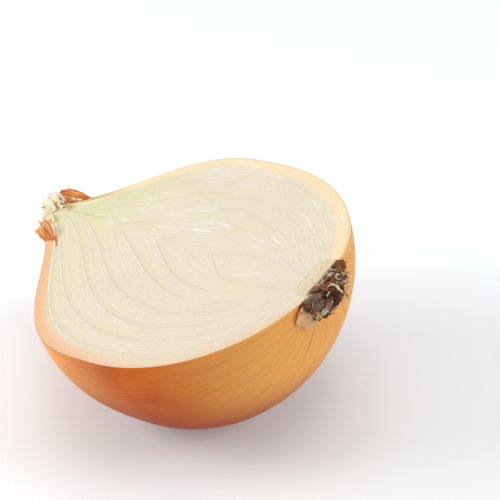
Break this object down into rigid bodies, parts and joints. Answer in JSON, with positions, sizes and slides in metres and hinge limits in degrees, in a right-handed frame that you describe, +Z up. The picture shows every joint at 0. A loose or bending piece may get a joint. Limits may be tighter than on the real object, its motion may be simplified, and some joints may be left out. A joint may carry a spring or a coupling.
{
  "type": "halved onion",
  "caption": "Half of a yellow onion, cut from root to neck and lying on its belly, with its papery skin, fleshy layers, root crust and dried neck.",
  "frame": {"origin": "middle of the part's bounding box in X and Y, on the surface that the half onion rests on", "axes": "+Z up; +X towards the root end, -X towards the neck; +Y towards the flatter side of the bulb; the cut face looks up, tipped a little towards the neck and the fuller side"},
  "size_m": [0.1034, 0.0796, 0.054],
  "materials": {
    "onion_skin": "satin",
    "onion_flesh": "moist satin",
    "basal_plate": "grainy",
    "root_crust": "rough",
    "rootlet": "rough",
    "neck_sheath": "fibrous"
  },
  "bodies": {
    "root": {"outer_skin": "onion_skin", "scale_1": "onion_flesh", "scale_2": "onion_flesh", "scale_3": "onion_flesh", "scale_4": "onion_flesh", "scale_5": "onion_flesh", "scale_6": "onion_flesh", "scale_7": "onion_flesh", "inner_bud": "onion_flesh", "basal_plate": "basal_plate", "root_crust": "root_crust", "rootlet_1": "rootlet", "rootlet_2": "rootlet", "rootlet_3": "rootlet", "rootlet_4": "rootlet", "rootlet_5": "rootlet", "rootlet_6": "rootlet", "rootlet_7": "rootlet", "rootlet_8": "rootlet", "neck_stub": "neck_sheath", "neck_flap": "onion_skin", "neck_curl_1": "onion_skin", "neck_curl_2": "onion_skin", "root_flake": "onion_skin"}
  },
  "joints": []
}
